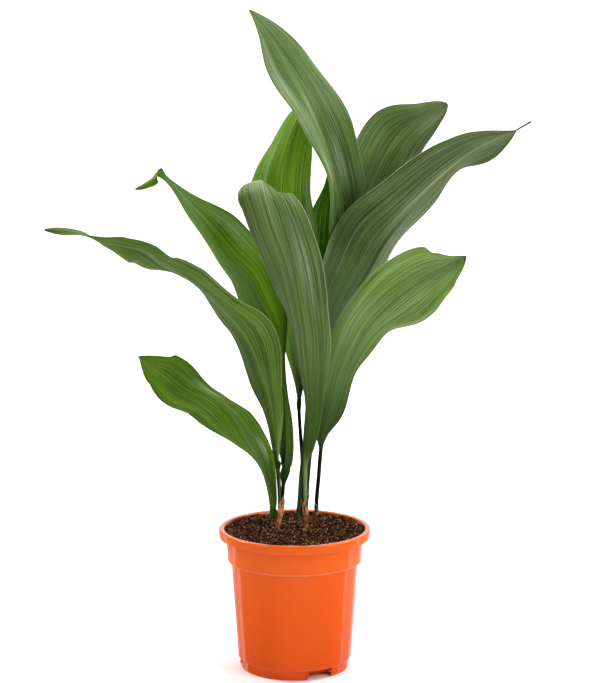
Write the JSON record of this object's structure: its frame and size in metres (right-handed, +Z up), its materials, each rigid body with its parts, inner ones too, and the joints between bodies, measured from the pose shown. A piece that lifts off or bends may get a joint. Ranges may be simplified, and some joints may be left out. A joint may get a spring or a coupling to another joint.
{
  "type": "potted cast iron plant",
  "caption": "Broad-leaved evergreen house plant with long arching blades on slim stems, standing in soil in a round tapered plastic nursery pot with a turned-down lip.",
  "frame": {"origin": "on the pot's axis, at the underside of its foot", "axes": "+Z up along the pot's axis, -Y the front, toward the viewer, +X to the viewer's right"},
  "size_m": [0.5252, 0.2524, 0.732],
  "materials": {
    "pot_plastic": "smooth glossy orange",
    "potting_soil": "crumbly dark brown peat",
    "rhizome": "dull tan",
    "leaf_top": "ribbed, soft sheen",
    "leaf_right_large": "ribbed, grey green underside",
    "leaf_right_back": "ribbed, soft sheen",
    "leaf_left_back": "ribbed, bright green",
    "leaf_front": "ribbed, sage green",
    "leaf_left_upper": "ribbed, deep green",
    "leaf_left_long": "ribbed, mid green",
    "leaf_left_low": "ribbed, vivid green",
    "leaf_right_low": "ribbed, yellow green",
    "leaf_centre_back": "ribbed, deep green",
    "dry_sheath": "dry, papery, tan"
  },
  "bodies": {
    "root": {"pot": "pot_plastic", "soil": "potting_soil", "rhizome": "rhizome", "leaf_top": "leaf_top", "leaf_right_large": "leaf_right_large", "leaf_right_back": "leaf_right_back", "leaf_left_back": "leaf_left_back", "leaf_front": "leaf_front", "leaf_left_upper": "leaf_left_upper", "leaf_left_long": "leaf_left_long", "leaf_left_low": "leaf_left_low", "leaf_right_low": "leaf_right_low", "leaf_centre_back": "leaf_centre_back", "sheath_left": "dry_sheath", "sheath_front": "dry_sheath"}
  },
  "joints": []
}
